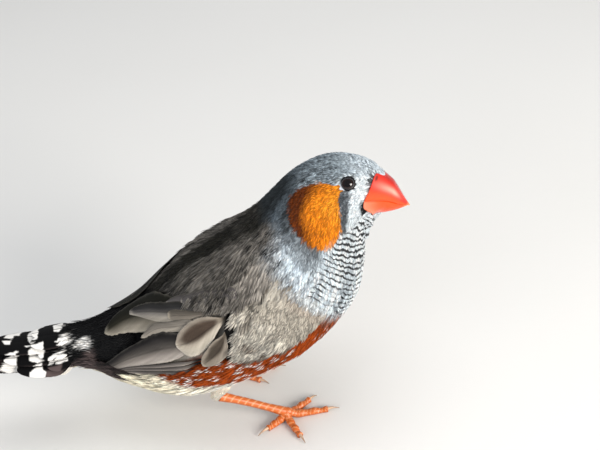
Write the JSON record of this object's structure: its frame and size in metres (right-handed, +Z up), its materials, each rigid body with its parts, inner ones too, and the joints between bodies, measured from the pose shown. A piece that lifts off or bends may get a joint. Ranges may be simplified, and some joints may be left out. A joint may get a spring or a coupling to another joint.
{
  "type": "zebra finch",
  "caption": "Male zebra finch as a still life-size model, standing low on both feet with folded wings, straight tail and cocked head.",
  "frame": {"origin": "on the floor under the middle of the bird's outline", "axes": "+X is the way the bird faces, +Y its left side, +Z up from the floor"},
  "size_m": [0.1114, 0.0376, 0.0656],
  "materials": {
    "torso_feathers": "soft matt plumage",
    "neck_feathers": "soft matt plumage, finely barred",
    "head_feathers": "short soft plumage with an orange cheek patch",
    "wing_feathers": "matt vanes with pale edges",
    "tail_feathers": "black vanes with white spots",
    "thigh_feathers": "pale fluffy down",
    "leg_skin": "scaly, slightly satin",
    "bill_upper": "smooth horn, satin",
    "bill_lower": "smooth horn, satin",
    "eye": "wet gloss"
  },
  "bodies": {
    "root": {"torso": "torso_feathers", "neck": "neck_feathers", "head": "head_feathers", "wing_left": "wing_feathers", "wing_right": "wing_feathers", "tail": "tail_feathers", "thigh_left": "thigh_feathers", "thigh_right": "thigh_feathers", "shank_left": "leg_skin", "shank_right": "leg_skin", "foot_left": "leg_skin", "foot_right": "leg_skin", "bill_upper": "bill_upper", "bill_lower": "bill_lower", "eye_left": "eye", "eye_right": "eye"}
  },
  "joints": []
}
